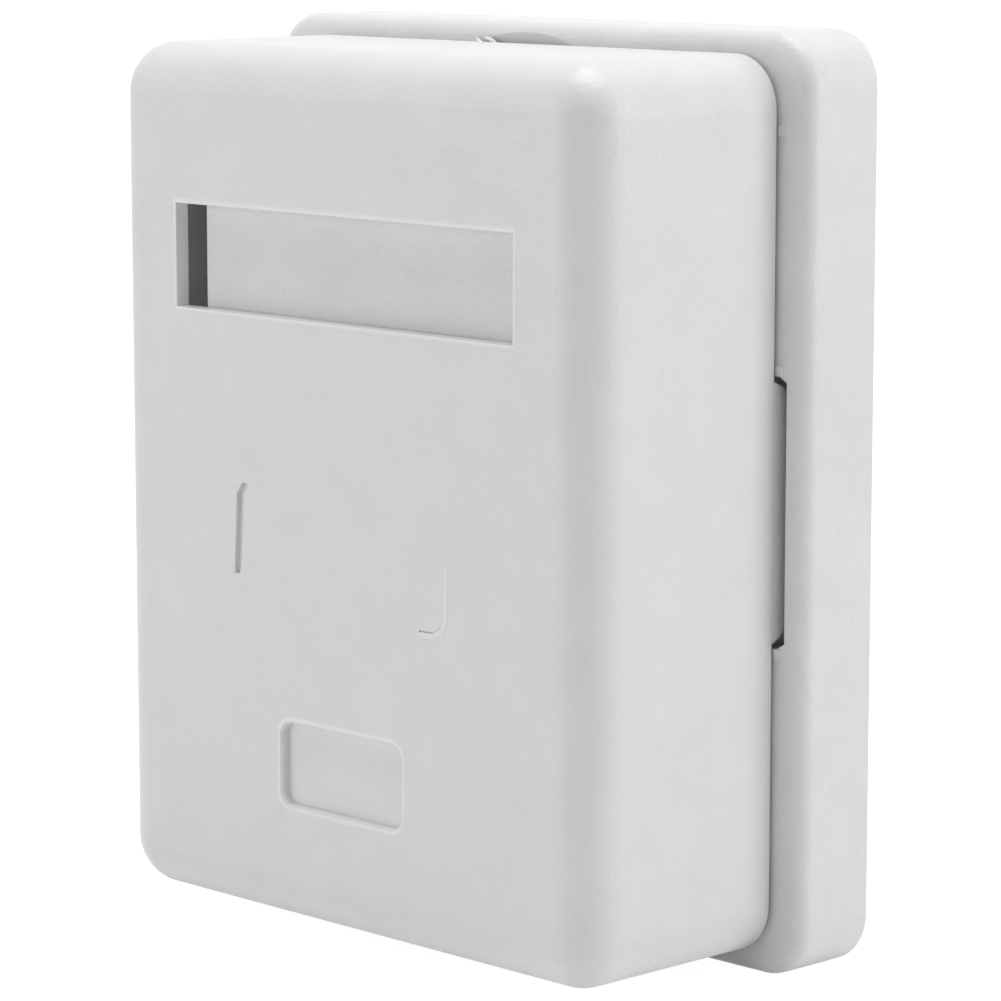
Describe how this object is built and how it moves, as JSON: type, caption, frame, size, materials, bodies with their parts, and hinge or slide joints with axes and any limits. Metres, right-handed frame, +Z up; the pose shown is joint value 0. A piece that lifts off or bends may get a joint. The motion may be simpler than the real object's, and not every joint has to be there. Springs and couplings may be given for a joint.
{
  "type": "surface mount jack box",
  "caption": "Shallow white wall box: a deep clip-fastened cover with a label window and an icon pocket on a ledged base, a modular jack facing down and wire entry behind.",
  "frame": {"origin": "centre of the base's back, on the wall plane, half way up and across", "axes": "+Y into the wall (the front looks along -Y), +Z up, +X to the right seen from the front"},
  "size_m": [0.0738, 0.0342, 0.0892],
  "materials": {
    "white_abs": "satin moulded",
    "label_stock": "matt sheet",
    "glass_epoxy_board": "solder mask",
    "zinc_plated_screws": "zinc plated",
    "jack_plastic": "moulded",
    "gilt_spring_wire": "gold plated",
    "block_plastic": "moulded",
    "tinned_blade": "tin plated",
    "cap_plastic": "moulded"
  },
  "bodies": {
    "base_assembly": {"base": "white_abs", "circuit_board": "glass_epoxy_board", "board_screws": "zinc_plated_screws", "jack_housing": "jack_plastic", "jack_contact_1": "gilt_spring_wire", "jack_contact_2": "gilt_spring_wire", "jack_contact_3": "gilt_spring_wire", "jack_contact_4": "gilt_spring_wire", "jack_contact_5": "gilt_spring_wire", "jack_contact_6": "gilt_spring_wire", "jack_contact_7": "gilt_spring_wire", "jack_contact_8": "gilt_spring_wire", "idc_block_left": "block_plastic", "idc_block_right": "block_plastic", "idc_contact_1": "tinned_blade", "idc_contact_2": "tinned_blade", "idc_contact_3": "tinned_blade", "idc_contact_4": "tinned_blade", "idc_contact_5": "tinned_blade", "idc_contact_6": "tinned_blade", "idc_contact_7": "tinned_blade", "idc_contact_8": "tinned_blade"},
    "cover": {"front_cover": "white_abs"},
    "label": {"label_plate": "label_stock"},
    "left_cap": {"idc_cap_left": "cap_plastic"},
    "right_cap": {"idc_cap_right": "cap_plastic"}
  },
  "joints": [
    {"name": "cover_lift_off", "type": "slide", "parent": "base_assembly", "child": "cover", "axis": [0, -1, 0], "range_m": [0, 0.03]},
    {"name": "label_slide", "type": "slide", "parent": "cover", "child": "label", "axis": [-1, 0, 0], "range_m": [0, 0.005]},
    {"name": "left_cap_lift_off", "type": "slide", "parent": "base_assembly", "child": "left_cap", "axis": [0, -1, 0], "range_m": [0, 0.006]},
    {"name": "right_cap_lift_off", "type": "slide", "parent": "base_assembly", "child": "right_cap", "axis": [0, -1, 0], "range_m": [0, 0.006]}
  ]
}
